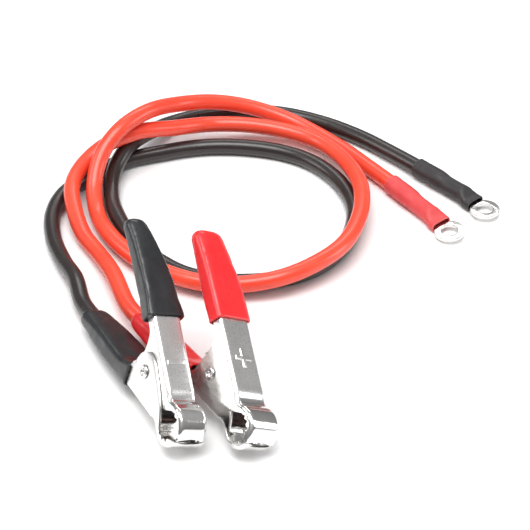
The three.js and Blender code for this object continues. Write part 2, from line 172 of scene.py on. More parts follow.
# Each lead: the clamp's tip and its yaw, pitch and roll, the ring's place, heading and roll, the grips'
# sizes, and the route of the cable's middle from the clamp to the terminal, in millimetres.

LEADS = {
    "black": {
        "tip": (-32, -142, 10.9),
        "turn": (110, 12.3, 22.5),
        "ring": (109.8, 42),
        "heading": -47.5,
        "ring_roll": 0,
        "wide_half": "lower",
        "mark": "minus",
        "mark_x": 35.5,
        "upper": dict(
            mouth=57, length=50, mouth_width=18.4, mouth_depth=9, end_width=10.5, lean=3, sway=4,
        ),
        "lower": dict(
            mouth=48, length=54, mouth_width=19.2, mouth_depth=12.6, end_width=14.5, lean=0, sway=2.6,
        ),
        "route": [
            (-90, -21, 7.6), (-97, -4, 5.2), (-103.5, 16, 4.2), (-105.5, 37, 4.2), (-101, 54.5, 4.2),
            (-88, 71, 4.2), (-70.5, 84.5, 4.2), (-54, 91, 4.2), (-33, 96.5, 4.2), (-11.5, 96.5, 4.2),
            (9, 91.5, 4.2), (24.5, 82, 4.2), (37.5, 65, 4.2), (44, 45, 4.2), (43.5, 27, 4.2),
            (36.5, 6.5, 4.2), (22.5, -9.5, 4.2), (6, -17, 4.3), (-15, -19, 4.2), (-36, -14, 4.2),
            (-50.5, -3, 4.2), (-63.5, 13.5, 4.2), (-72.5, 33, 4.2), (-77, 49.5, 4.8), (-77, 67, 8),
            (-71, 82, 12.7), (-60, 105, 8), (-46, 120.5, 4.5), (-25.5, 128.5, 4.2), (-4, 130, 4.2),
            (13.5, 126.5, 4.2), (33, 117.5, 4.2), (50.5, 105, 4.2), (64, 92, 4.4),
        ],
    },
    "red": {
        "tip": (-2.2, -142.6, 9.8),
        "turn": (113, 13, 31.5),
        "ring": (90.8, 23.4),
        "heading": -55,
        "ring_roll": 6,
        "wide_half": "upper",
        "mark": "plus",
        "mark_x": 39,
        "upper": dict(
            mouth=57, length=45, mouth_width=19.2, mouth_depth=9, end_width=15.5, lean=1.5, sway=1.8,
        ),
        "lower": dict(
            mouth=50, length=51, mouth_width=18, mouth_depth=12, end_width=14, lean=0, sway=1.5,
        ),
        "route": [
            (-72.5, -16.5, 7.6), (-80, 1, 5.4), (-89, 18, 5.3), (-94, 33, 8), (-96.5, 51, 11.4),
            (-91.5, 65.5, 14.6), (-80.5, 76.5, 19), (-65, 85, 21.2), (-47, 96.5, 16), (-29, 107.5, 11),
            (-9.5, 108.5, 10), (9, 105.5, 8.6), (26, 97, 7.8), (38.5, 80, 9.4), (47, 55.5, 11.8),
            (48, 35.5, 12.7), (44.5, 16, 12.7), (37, -1, 12.5), (24, -15, 12.2), (8, -24.5, 11.2),
            (-10.5, -27, 9), (-29.5, -25, 8.4), (-47.5, -16.5, 8), (-62.5, -3, 6.8), (-76, 16.5, 6.4),
            (-83, 35, 5.2), (-85.5, 49, 9.6), (-84.5, 59, 16.2), (-80.5, 67.5, 23), (-72, 77.5, 29),
            (-59.5, 91.5, 29.6), (-44.5, 108.5, 23), (-26, 118.5, 17.8), (-7.5, 121.5, 12.6), (12, 118, 7.2),
            (26.5, 108.5, 4.8), (40, 94.5, 4.4), (52, 78.5, 4.6),
        ],
    },
}


# Placing

def clamp_axes(turn):
    """The clamp's directions: along from the tips to the handles, left, and top."""
    yaw, pitch, roll = [math.radians(angle) for angle in turn]
    along = Vector((math.cos(pitch) * math.cos(yaw), math.cos(pitch) * math.sin(yaw), math.sin(pitch)))
    level = Vector((-math.sin(yaw), math.cos(yaw), 0))
    up = along.cross(level)
    left = level * math.cos(roll) + up * math.sin(roll)
    top = up * math.cos(roll) - level * math.sin(roll)
    return along, left, top


# The frame's origin isn't the one that the places above are measured from. The black pivot gives the shift.
black_joint = next(
    joint for joint in frame["record"]["behaviour"]["joints"] if joint["name"] == "black_clamp_pivot"
)
black_along = clamp_axes(LEADS["black"]["turn"])[0]
HOME = Vector(black_joint["pos_m"]) / MM - Vector(LEADS["black"]["tip"]) - black_along * PIVOT_X


def clamp_matrix(lead):
    along, left, top = clamp_axes(lead["turn"])
    turn = Matrix((along, left, top)).transposed().to_4x4()
    return Matrix.Translation(HOME + Vector(lead["tip"])) @ turn


def terminal_matrix(lead):
    place = HOME + Vector((lead["ring"][0], lead["ring"][1], CABLE_AXIS_Z))
    turn = Matrix.Rotation(math.radians(lead["heading"]), 4, "Z")
    roll = Matrix.Rotation(math.radians(lead["ring_roll"]), 4, "X")
    return Matrix.Translation(place) @ turn @ roll @ Matrix.Translation((0, 0, -CABLE_AXIS_Z))


LOWER_HALF = Matrix.Rotation(math.pi, 4, "X")


# Camera: above the near edge, looking down at the middle of the loops

CAMERA_DISTANCE = 1018
CAMERA_ELEVATION = math.radians(37)
CAMERA_LENS = 142.64
CAMERA_SENSOR = 36
camera_data = bpy.data.cameras.new("camera")
camera_data.lens = CAMERA_LENS
camera_data.sensor_width = CAMERA_SENSOR
camera_data.sensor_fit = "HORIZONTAL"
camera_data.clip_start = 0.05
camera_data.clip_end = 20
camera = bpy.data.objects.new("camera", camera_data)
bpy.context.scene.collection.objects.link(camera)
towards = Vector((0, math.cos(CAMERA_ELEVATION), -math.sin(CAMERA_ELEVATION)))
camera.location = (HOME - towards * CAMERA_DISTANCE) * MM
camera.rotation_euler = towards.to_track_quat("-Z", "Y").to_euler()
bpy.context.scene.camera = camera


# Mesh tools

def polar(centre, radius, degrees):
    angle = math.radians(degrees)
    return (centre[0] + radius * math.cos(angle), centre[1] + radius * math.sin(angle))


def lerp(a, b, share):
    return a + (b - a) * share


def ease(share):
    share = min(1, max(0, share))
    return share * share * (3 - 2 * share)


def smooth_through(points, steps):
    """Rows of numbers on the smooth centripetal curve through the given rows."""
    rows = [np.array(point, float) for point in points]
    rows = [2 * rows[0] - rows[1]] + rows + [2 * rows[-1] - rows[-2]]
    curve = []
    for p0, p1, p2, p3 in zip(rows, rows[1:], rows[2:], rows[3:]):
        d0, d1, d2 = [np.linalg.norm(end - start) ** 0.5 for start, end in ((p0, p1), (p1, p2), (p2, p3))]
        m1 = ((p1 - p0) / d0 - (p2 - p0) / (d0 + d1) + (p2 - p1) / d1) * d1
        m2 = ((p2 - p1) / d1 - (p3 - p1) / (d1 + d2) + (p3 - p2) / d2) * d1
        for i in range(steps):
            t = i / steps
            cubic = 2 * p1 - 2 * p2 + m1 + m2
            square = -3 * p1 + 3 * p2 - 2 * m1 - m2
            curve.append(cubic * t ** 3 + square * t ** 2 + m1 * t + p1)
    curve.append(rows[-2])
    return curve


def evenly(curve, step):
    """The same curve with its points about one step apart."""
    curve = np.array(curve)
    lengths = np.concatenate([[0], np.cumsum(np.linalg.norm(np.diff(curve, axis=0), axis=1))])
    places = np.linspace(0, lengths[-1], max(2, round(lengths[-1] / step) + 1))
    return [Vector([np.interp(place, lengths, curve[:, axis]) for axis in range(3)]) for place in places]


def skin(rings, capped=True, closed=False):
    """Vertices and faces of a skin through rings of equal length."""
    count = len(rings[0])
    vertices = [Vector(point) for ring in rings for point in ring]
    faces = []
    for i in range(len(rings) if closed else len(rings) - 1):
        first = i * count
        second = ((i + 1) % len(rings)) * count
        for j in range(count):
            k = (j + 1) % count
            faces.append((first + j, first + k, second + k, second + j))
    if capped:
        faces.append(tuple(reversed(range(count))))
        faces.append(tuple(range(len(vertices) - count, len(vertices))))
    return vertices, faces


def rounded_ring(x, centre_z, width, height, power, count):
    """A ring of points round the x axis: a rounded rectangle, squarer as its power rises."""
    ring = []
    for j in range(count):
        angle = 2 * math.pi * (j + 0.5) / count
        c = math.cos(angle)
        s = math.sin(angle)
        size = (abs(c) ** power + abs(s) ** power) ** (-1 / power)
        ring.append(Vector((x, c * size * width / 2, centre_z + s * size * height / 2)))
    return ring


def tube(points, radius, sides):
    """A round tube along points, with its ends closed."""
    rings = []
    normal = None
    for i, point in enumerate(points):
        ahead = (points[min(i + 1, len(points) - 1)] - points[max(i - 1, 0)]).normalized()
        if normal is None:
            normal = ahead.orthogonal()
        normal = (normal - ahead * normal.dot(ahead)).normalized()
        side = ahead.cross(normal)
        turns = [2 * math.pi * j / sides for j in range(sides)]
        rings.append([point + (normal * math.cos(a) + side * math.sin(a)) * radius for a in turns])
    return skin(rings)


def lathe(profile, sides):
    """A closed solid of rings round the y axis, from (radius, y) points of a closed profile."""
    rings = []
    for j in range(sides):
        angle = 2 * math.pi * j / sides
        rings.append([Vector((r * math.cos(angle), y, r * math.sin(angle))) for r, y in profile])
    return skin(rings, capped=False, closed=True)


def mesh_object(name, vertices, faces):
    mesh = bpy.data.meshes.new(name)
    mesh.from_pydata([tuple(v) for v in vertices], [], faces)
    mesh.validate()
    mesh.update()
    solid = bpy.data.objects.new(name, mesh)
    bpy.context.scene.collection.objects.link(solid)
    return solid


def outward(solid):
    """Turns every face of a closed mesh outwards."""
    work = bmesh.new()
    work.from_mesh(solid.data)
    bmesh.ops.recalc_face_normals(work, faces=work.faces)
    work.to_mesh(solid.data)
    work.free()


def settle(solid):
    """Puts the result of the modifiers into the mesh."""
    depsgraph = bpy.context.evaluated_depsgraph_get()
    solid.data = bpy.data.meshes.new_from_object(solid.evaluated_get(depsgraph))
    solid.modifiers.clear()


def combine(solid, other, operation):
    """Adds or cuts another solid, which goes away."""
    change = solid.modifiers.new("combine", "BOOLEAN")
    change.operation = operation
    change.object = other
    change.solver = "EXACT"
    settle(solid)
    bpy.data.objects.remove(other)


def bevel(solid, width, angle, segments):
    change = solid.modifiers.new("bevel", "BEVEL")
    change.width = width
    change.segments = segments
    change.limit_method = "ANGLE"
    change.angle_limit = math.radians(angle)
    settle(solid)


def place(solid, matrix, sharp=40):
    """Moves the mesh from its own millimetres into the frame's metres, and shades it."""
    solid.data.transform(Matrix.Scale(MM, 4) @ matrix)
    solid.data.polygons.foreach_set("use_smooth", [True] * len(solid.data.polygons))
    solid.data.set_sharp_from_angle(angle=math.radians(sharp))
    solid.data.update()
    return solid


# Materials. Every surface varies in colour, roughness and relief, at sizes given in waves per metre.

COAT_ROUGHNESS = 0.12
CLOUD_ROUGHNESS = 0.6
COARSE_SCALE = 0.4 # of the grain
COARSE_DEPTH = 4 # times the fine relief


def surface(name, colour, other_colour, roughness, rougher, metallic=0.0, patch=60, grain=900, fine=3500,
            bump=0.2, bump_depth=0.00004, wear=None, coat=0.0, satin=None):
    material = bpy.data.materials.new(name)
    material.use_nodes = True
    nodes = material.node_tree.nodes
    links = material.node_tree.links
    shader = nodes["Principled BSDF"]
    shader.inputs["Metallic"].default_value = metallic
    shader.inputs["Coat Weight"].default_value = coat
    shader.inputs["Coat Roughness"].default_value = COAT_ROUGHNESS
    place_of = nodes.new("ShaderNodeTexCoord").outputs["Object"]

    def cloud(scale, detail):
        node = nodes.new("ShaderNodeTexNoise")
        node.inputs["Scale"].default_value = scale
        node.inputs["Detail"].default_value = detail
        node.inputs["Roughness"].default_value = CLOUD_ROUGHNESS
        links.new(place_of, node.inputs["Vector"])
        return node.outputs["Fac"]

    def spread(value, low, high, to_low, to_high):
        node = nodes.new("ShaderNodeMapRange")
        node.inputs["From Min"].default_value = low
        node.inputs["From Max"].default_value = high
        node.inputs["To Min"].default_value = to_low
        node.inputs["To Max"].default_value = to_high
        links.new(value, node.inputs["Value"])
        return node.outputs["Result"]

    def mixed(share, first, second):
        # the colour sockets of a Mix node are its inputs 6 and 7 and its output 2
        node = nodes.new("ShaderNodeMix")
        node.data_type = "RGBA"
        links.new(share, node.inputs["Factor"])
        for socket, value in ((6, first), (7, second)):
            if isinstance(value, tuple):
                node.inputs[socket].default_value = (*value, 1)
            else:
                links.new(value, node.inputs[socket])
        return node.outputs[2]

    paint = mixed(spread(cloud(patch, 4), 0.35, 0.65, 0, 1), colour, other_colour)
    rough = spread(cloud(grain, 6), 0.3, 0.7, roughness, rougher)
    if wear is not None:
        # rubbed paler along the raised edges
        edges = nodes.new("ShaderNodeNewGeometry").outputs["Pointiness"]
        paint = mixed(spread(edges, 0.53, 0.6, 0, 0.5), paint, wear)
    if satin is not None:
        # the attribute is 1 where the metal is left satin and 0 where it is polished
        dull = nodes.new("ShaderNodeAttribute")
        dull.attribute_name = "satin"
        more = nodes.new("ShaderNodeMath")
        more.operation = "MULTIPLY_ADD"
        links.new(dull.outputs["Fac"], more.inputs[0])
        more.inputs[1].default_value = satin
        links.new(rough, more.inputs[2])
        rough = more.outputs[0]
    links.new(paint, shader.inputs["Base Color"])
    links.new(rough, shader.inputs["Roughness"])
    coarse_relief = nodes.new("ShaderNodeBump")
    coarse_relief.inputs["Strength"].default_value = bump
    coarse_relief.inputs["Distance"].default_value = bump_depth * COARSE_DEPTH
    links.new(cloud(grain * COARSE_SCALE, 3), coarse_relief.inputs["Height"])
    fine_relief = nodes.new("ShaderNodeBump")
    fine_relief.inputs["Strength"].default_value = bump
    fine_relief.inputs["Distance"].default_value = bump_depth
    links.new(cloud(fine, 4), fine_relief.inputs["Height"])
    links.new(coarse_relief.outputs["Normal"], fine_relief.inputs["Normal"])
    links.new(fine_relief.outputs["Normal"], shader.inputs["Normal"])
    return material


MATERIALS = {
    "black_cable_jacket": surface(
        "black_cable_jacket", (0.014, 0.010, 0.009), (0.022, 0.016, 0.015), 0.26, 0.36, patch=45, grain=260,
        fine=1400, bump=0.12, bump_depth=0.00001, coat=0.15),
    "red_cable_jacket": surface(
        "red_cable_jacket", (0.78, 0.055, 0.024), (0.82, 0.070, 0.032), 0.28, 0.38, patch=45, grain=260,
        fine=1400, bump=0.12, bump_depth=0.00001, coat=0.15),
    "black_grip": surface(
        "black_grip", (0.011, 0.0115, 0.013), (0.017, 0.018, 0.020), 0.26, 0.40, patch=70, grain=500,
        fine=1600, bump=0.14, bump_depth=0.00002, wear=(0.05, 0.05, 0.055), coat=0.1),
    "red_grip": surface(
        "red_grip", (0.68, 0.010, 0.014), (0.74, 0.018, 0.022), 0.26, 0.40, patch=70, grain=500,
        fine=1600, bump=0.14, bump_depth=0.00002, wear=(0.80, 0.07, 0.06), coat=0.2),
    "plated_steel": surface(
        "plated_steel", (0.80, 0.79, 0.775), (0.72, 0.71, 0.70), 0.10, 0.16, metallic=1.0, patch=90,
        grain=1500, fine=4200, bump=0.12, bump_depth=0.000015, wear=(0.86, 0.86, 0.85), satin=0.16),
    "rivet": surface(
        "rivet", (0.70, 0.69, 0.68), (0.60, 0.59, 0.58), 0.14, 0.24, metallic=1.0, patch=200, grain=1800,
        bump=0.2, bump_depth=0.00002, wear=(0.84, 0.84, 0.83)),
    "spring_steel": surface(
        "spring_steel", (0.36, 0.36, 0.37), (0.28, 0.28, 0.29), 0.24, 0.38, metallic=1.0, patch=150,
        grain=1500, bump=0.3, bump_depth=0.00003, wear=(0.55, 0.55, 0.56)),
    "tinned_copper": surface(
        "tinned_copper", (0.78, 0.77, 0.75), (0.70, 0.685, 0.66), 0.14, 0.24, metallic=1.0, patch=120,
        grain=1200, bump=0.25, bump_depth=0.00003, wear=(0.86, 0.85, 0.83)),
    "black_shrink": surface(
        "black_shrink", (0.017, 0.0155, 0.016), (0.026, 0.023, 0.024), 0.44, 0.60, patch=80, grain=800,
        bump=0.3, bump_depth=0.00004, wear=(0.07, 0.065, 0.065)),
    "red_shrink": surface(
        "red_shrink", (0.60, 0.050, 0.052), (0.66, 0.068, 0.068), 0.46, 0.62, patch=80, grain=800,
        bump=0.35, bump_depth=0.00007, wear=(0.85, 0.20, 0.18)),
}


def dress(solid, slot, body, node):
    """Gives the piece its material and its body, and hides the solid that it stands for."""
    solid.data.materials.clear()
    solid.data.materials.append(MATERIALS[slot])
    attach(solid, body)
    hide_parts(node)
    return solid


# Cables

def web_z(x):
    return WEB_START[1] + math.tan(HANDLE_SLOPE) * (x - WEB_START[0])


def along_handle(mouth, s, h):
    """From a place along and above the handle's web, measured from a grip's mouth, to the clamp's x and z."""
    x = mouth + s * math.cos(HANDLE_SLOPE) - h * math.sin(HANDLE_SLOPE)
    return x, web_z(mouth) + s * math.sin(HANDLE_SLOPE) + h * math.cos(HANDLE_SLOPE)


def cable(name, lead):
    clamp = clamp_matrix(lead)
    terminal = terminal_matrix(lead)
    grip = lead["lower"]
    end_height = GRIP_WALL - GRIP_END_DEPTH / 2 - grip["lean"]
    exit_x, exit_z = along_handle(grip["mouth"], grip["length"], end_height)
    exit_point = clamp @ Vector((exit_x, grip["sway"], -exit_z))
    outwards = clamp.to_3x3() @ Vector((math.cos(HANDLE_SLOPE), 0, -math.sin(HANDLE_SLOPE)))
    points = [exit_point - outwards * CABLE_INSIDE, exit_point + outwards * CABLE_STRAIGHT]
    points += [HOME + Vector(point) for point in lead["route"]]
    points.append(terminal @ Vector((-SLEEVE_END - CABLE_BEFORE_SLEEVE, 0, CABLE_AXIS_Z)))
    points.append(terminal @ Vector((-BARREL_END - CABLE_BEFORE_BARREL, 0, CABLE_AXIS_Z)))
    path = evenly(smooth_through(points, ROUTE_STEPS), CABLE_STEP)
    lead_cable = mesh_object(f"{name}_jacket", *tube(path, CABLE_DIAMETER / 2, CABLE_SIDES))
    outward(lead_cable)
    place(lead_cable, Matrix.Identity(4), sharp=50)
    dress(lead_cable, f"{name}_cable_jacket", "leads", f"{name}_cable")
    return lead_cable, exit_point * MM, [point * MM for point in path]


cables = {name: cable(name, lead) for name, lead in LEADS.items()}


# Ring terminals and their shrink sleeves

def ring_terminal(name, lead):
    """A flat ring with rounded edges, drawn down to a neck and a crimped barrel."""
    neck = NECK_WIDTH / 2
    meet = math.degrees(math.asin(neck / (RING_OUTSIDE / 2)))
    outline = [
        polar((0, 0), RING_OUTSIDE / 2, lerp(-180 + meet, 180 - meet, i / RING_STEPS))
        for i in range(RING_STEPS + 1)
    ]
    outline += [(PALM_START - BARREL_START, neck), (PALM_START - BARREL_START, -neck)]
    hole = [polar((0, 0), RING_HOLE / 2, 360 * i / RING_STEPS) for i in range(RING_STEPS)]
    curve = bpy.data.curves.new("palm", "CURVE")
    curve.dimensions = "2D"
    curve.fill_mode = "BOTH"
    curve.extrude = PALM_THICKNESS / 2 - PALM_EDGE
    curve.bevel_depth = PALM_EDGE
    curve.bevel_resolution = 3
    curve.offset = -PALM_EDGE
    for points in (outline, hole):
        spline = curve.splines.new("POLY")
        spline.points.add(len(points) - 1)
        for point, (x, y) in zip(spline.points, points):
            point.co = (x, y, 0, 1)
        spline.use_cyclic_u = True
    flat = bpy.data.objects.new("palm", curve)
    bpy.context.scene.collection.objects.link(flat)
    depsgraph = bpy.context.evaluated_depsgraph_get()
    mesh = bpy.data.meshes.new_from_object(flat.evaluated_get(depsgraph))
    bpy.data.objects.remove(flat)
    palm = bpy.data.objects.new(f"{name}_ring", mesh)
    bpy.context.scene.collection.objects.link(palm)
    mesh.transform(Matrix.Translation((0, 0, PALM_Z)))
    outward(palm)

    # place, height of the middle, width, height and squareness, from the barrel's end to the palm
    full = 2 * BARREL_RADIUS
    between_z = (BARREL_AXIS_Z + PALM_Z) / 2 + 0.3
    stations = [
        (-BARREL_END, BARREL_AXIS_Z, full - 0.6, full - 0.6, 2),
        (-BARREL_END + 0.3, BARREL_AXIS_Z, full, full, 2),
        (-BARREL_START - BARREL_LENGTH / 2, BARREL_AXIS_Z, full - 0.1, full - 0.4, 2),
        (-BARREL_START, BARREL_AXIS_Z, full, full, 2),
        (-BARREL_START + PALM_START / 2 - 0.5, between_z, full + 0.2, full * 0.62, 2.2),
        (-BARREL_START + PALM_START - 1, PALM_Z + 0.4, NECK_WIDTH - 0.6, PALM_THICKNESS + 0.8, 2.4),
        (-BARREL_START + PALM_START + 1, PALM_Z, NECK_WIDTH - 0.4, PALM_THICKNESS - 0.1, 3),
    ]
    rings = [rounded_ring(*row, BARREL_SIDES) for row in smooth_through(stations, BARREL_STEPS)]
    barrel = mesh_object("barrel", *skin(rings))
    outward(barrel)
    combine(palm, barrel, "UNION")
    place(palm, terminal_matrix(lead))
    return dress(palm, "tinned_copper", "leads", f"{name}_ring_terminal")


def sleeve(name, lead):
    """A thin sleeve shrunk over the cable's end and the barrel, with a flattened open mouth."""
    over_cable = 2 * (CABLE_DIAMETER / 2 + FIT_GAP)
    over_barrel = 2 * (BARREL_RADIUS + FIT_GAP)
    mouth_inside = (SLEEVE_MOUTH_WIDTH - 2 * SLEEVE_WALL, SLEEVE_MOUTH_HEIGHT - 2 * SLEEVE_WALL)
    # inside of the sleeve: place, height of its middle, width, height and squareness
    stations = [
        (-SLEEVE_END, CABLE_AXIS_Z, over_cable, over_cable, 2),
        (-BARREL_END - 12, CABLE_AXIS_Z, over_cable, over_cable, 2),
        (-BARREL_END - 3, CABLE_AXIS_Z, over_cable, over_cable, 2),
        (-BARREL_END + 2, BARREL_AXIS_Z, over_barrel, over_barrel, 2),
        (-BARREL_START - 4, BARREL_AXIS_Z, over_barrel, over_barrel, 2),
        (-BARREL_START + 0.8, BARREL_AXIS_Z, over_barrel, over_barrel, 2.2),
        (-BARREL_START + PALM_START, PALM_Z + 0.5, SLEEVE_MOUTH_WIDTH - 1.4, SLEEVE_MOUTH_HEIGHT - 1, 3.4),
        (-SLEEVE_MOUTH, PALM_Z + 0.2, *mouth_inside, 4),
    ]
    rows = smooth_through(stations, SLEEVE_STEPS)

    def ring(row, grow):
        x, z, width, height, power = row
        points = rounded_ring(x, z, width + 2 * grow, height + 2 * grow, max(2, power), SLEEVE_SIDES)
        if grow > 0:
            # soft wrinkles that the shrinking leaves
            middle = Vector((x, 0, z))
            for point in points:
                away = (point - middle).normalized()
                wrinkle = noise.noise(Vector((x * 0.45, away.y * 2.2, away.z * 2.2)))
                point -= away * max(0, wrinkle) * WRINKLE_DEPTH
        return points

    outer = [ring(row, SLEEVE_WALL) for row in rows]
    inner = [ring(row, 0) for row in rows]

    def lip(end, shift):
        """The ring between outside and inside at one end, a little further out."""
        halfway = [a.lerp(b, 0.5) for a, b in zip(outer[end], inner[end])]
        return [point + Vector((shift, 0, 0)) for point in halfway]

    rings = outer + [lip(-1, SLEEVE_LIP)] + inner[::-1] + [lip(0, -SLEEVE_LIP)]
    shrink = mesh_object(f"{name}_sleeve", *skin(rings, capped=False, closed=True))
    outward(shrink)
    place(shrink, terminal_matrix(lead), sharp=60)
    return dress(shrink, f"{name}_shrink", "leads", f"{name}_heat_shrink")


for name, lead in LEADS.items():
    on_cable = [sleeve(name, lead), ring_terminal(name, lead)]


# Clamp halves. Each is drawn as the upper half, above the clamp's axis, and the lower one is turned over.

# From the nose back to the grip: outside of the web, and edge of the flange, as (x, z) pairs.
HALF_STATIONS = [
    (14.9, 8.85, 13.4, 5.9), (16.7, 8.0, 15.2, 4.2), (18.4, 7.5, 17.2, 2.2), (20.2, 7.6, 20.0, -0.2),
    (21.6, 8.2, 22.0, -1.5), (23.2, web_z(23.2), 24.4, -2.8),
    (27, web_z(27), 28.3, -4.8), (33, web_z(33), 33.6, -6.9), (37, web_z(37), 37.2, -8.4),
    (41, web_z(41), 41, -8.8), (44, web_z(44), 44.6, -8.0), (46.3, web_z(46.3), 47.2, -6.2),
    (48.2, web_z(48.2), 49.2, -3.2), (50, web_z(50), 49.8, 0.2), (51.5, web_z(51.5), 50.0, 4.2),
    (53, web_z(53), 51.2, 8.6), (55, web_z(55), 53.6, 12.4),
    (57.5, web_z(57.5), 58, web_z(58) - HANDLE_FLANGE), (64, web_z(64), 64.5, web_z(64.5) - HANDLE_FLANGE),
    (FLANGE_END_X, web_z(FLANGE_END_X), 71.4, 17.6),
]


def tooth_radius(degrees):
    """Distance of the toothed edge from the nose's centre."""
    valley = NOSE_RADIUS - RIM_DEPTH
    crest = valley - TOOTH_DEPTH
    if degrees > TEETH_TO:
        return lerp(valley, NOSE_RADIUS - SHEET, (degrees - TEETH_TO) / (180 - TEETH_TO))
    share = (degrees - TEETH_FROM) / (TEETH_TO - TEETH_FROM) * TEETH_PER_RIM % 1
    return np.interp(share, [0, 0.3, 0.55, 0.85, 1], [valley, crest, crest, valley, valley])


def half_rows():
    """Sections from the tip back: degrees round the nose, or 0 behind it, and the web's and edge's places."""
    rows = []
    degrees = 180.0
    while degrees > NOSE_END:
        web = polar(NOSE_CENTRE, NOSE_RADIUS, degrees)
        rim = polar(NOSE_CENTRE, tooth_radius(degrees), degrees)
        rows.append((degrees, *web, *rim))
        degrees -= NOSE_STEP
    web = polar(NOSE_CENTRE, NOSE_RADIUS, NOSE_END)
    rim = polar(NOSE_CENTRE, tooth_radius(NOSE_END), NOSE_END)
    rows += [(0, *row) for row in smooth_through([(*web, *rim)] + HALF_STATIONS, STATION_STEPS)]
    return rows


def section_profile(half, depth):
    """From edge to edge over the web: sideways place, and distance down the flange from the web."""
    bend = min(BEND_RADIUS, 0.6 * depth)
    profile = [(half, lerp(depth, bend, i / FLANGE_STEPS)) for i in range(FLANGE_STEPS)]
    for i in range(BEND_STEPS + 1):
        turn = math.radians(90 * i / BEND_STEPS)
        profile.append((half - bend * (1 - math.cos(turn)), bend * (1 - math.sin(turn))))
    profile += [(lerp(half - bend, 0, i / WEB_STEPS), 0) for i in range(1, WEB_STEPS + 1)]
    return profile + [(-y, down) for y, down in profile[-2::-1]]


def cut_back(x, z, y, degrees):
    """A point of the nose moved round its centre, so that the tip's middle is cut back in a shallow arc."""
    cut = LENS_DEPTH * max(0, 1 - (y / LENS_REACH) ** 2) * ease((degrees - 180 + LENS_FADE) / LENS_FADE)
    turned = -cut / NOSE_RADIUS
    from_x = x - NOSE_CENTRE[0]
    from_z = z - NOSE_CENTRE[1]
    return (
        NOSE_CENTRE[0] + from_x * math.cos(turned) - from_z * math.sin(turned),
        NOSE_CENTRE[1] + from_x * math.sin(turned) + from_z * math.cos(turned),
    )


def pressed_half(name, width, mark, mark_x):
    """The sheet from flange over web to flange, bent along both sides, then made as thick as the sheet."""
    rings = []
    for degrees, web_x, web_height, rim_x, rim_z in half_rows():
        reach = Vector((rim_x - web_x, rim_z - web_height))
        depth = reach.length
        line = []
        for y, down in section_profile(width / 2, depth):
            x = web_x + reach.x / depth * down
            z = web_height + reach.y / depth * down
            if degrees:
                x, z = cut_back(x, z, y, degrees)
            line.append(Vector((x, y, z)))
        rings.append(line)
    count = len(rings[0])
    vertices = [point for line in rings for point in line]
    faces = []
    for i in range(len(rings) - 1):
        for j in range(count - 1):
            first = i * count + j
            faces.append((first, first + 1, first + 1 + count, first + count))
    jaw = mesh_object(name, vertices, faces)
    middle = jaw.data.polygons[len(faces) // 2]
    if middle.normal.z < 0:
        jaw.data.flip_normals()
    thicken = jaw.modifiers.new("thicken", "SOLIDIFY")
    thicken.thickness = SHEET
    thicken.offset = -1
    thicken.use_quality_normals = True
    settle(jaw)
    outward(jaw)
    bevel(jaw, EDGE_BEVEL, 50, 2)

    turns = [2 * math.pi * i / HOLE_SIDES for i in range(HOLE_SIDES)]
    hole_radius = RIVET_RADIUS + FIT_GAP
    hole = [
        [(PIVOT_X + hole_radius * math.cos(a), y, hole_radius * math.sin(a)) for a in turns]
        for y in (-OUTER_WIDTH, OUTER_WIDTH)
    ]
    cutter = mesh_object("cutter", *skin(hole))
    outward(cutter)
    combine(jaw, cutter, "DIFFERENCE")
    if mark:
        combine(jaw, raised_mark(mark, mark_x), "UNION")

    values = [ease((vertex.co.x - SATIN_FROM) / SATIN_RUN) for vertex in jaw.data.vertices]
    attribute = jaw.data.attributes.new("satin", "FLOAT", "POINT")
    attribute.data.foreach_set("value", values)
    return jaw


def mark_outline(mark, inset):
    """Corners of a minus across the web, or of a plus, drawn in by an inset."""
    reach = MARK_LENGTH / 2 - inset
    half = MARK_WIDTH / 2 - inset
    if mark == "minus":
        return [(half, reach), (-half, reach), (-half, -reach), (half, -reach)]
    quarter = [(reach, half), (half, half), (half, reach)]
    corners = []
    for i in range(4):
        for u, v in quarter:
            for _ in range(i):
                u, v = -v, u
            corners.append((u, v))
    return corners


def raised_mark(mark, x):
    """A plus or minus with softened top edges, standing on the handle's web."""
    layers = []
    insets = ((-MARK_SUNK, 0), (MARK_HEIGHT * 0.55, 0.02), (MARK_HEIGHT * 0.9, 0.14), (MARK_HEIGHT, 0.34))
    for height, inset in insets:
        ring = []
        for u, v in mark_outline(mark, inset):
            turned_x = x + u * math.cos(HANDLE_SLOPE) - height * math.sin(HANDLE_SLOPE)
            turned_z = web_z(x) + u * math.sin(HANDLE_SLOPE) + height * math.cos(HANDLE_SLOPE)
            ring.append(Vector((turned_x, v, turned_z)))
        layers.append(ring)
    raised = mesh_object("mark", *skin(layers))
    outward(raised)
    return raised


# Grips: dipped vinyl, boxy over the flanges and round at the end, with a thick open mouth

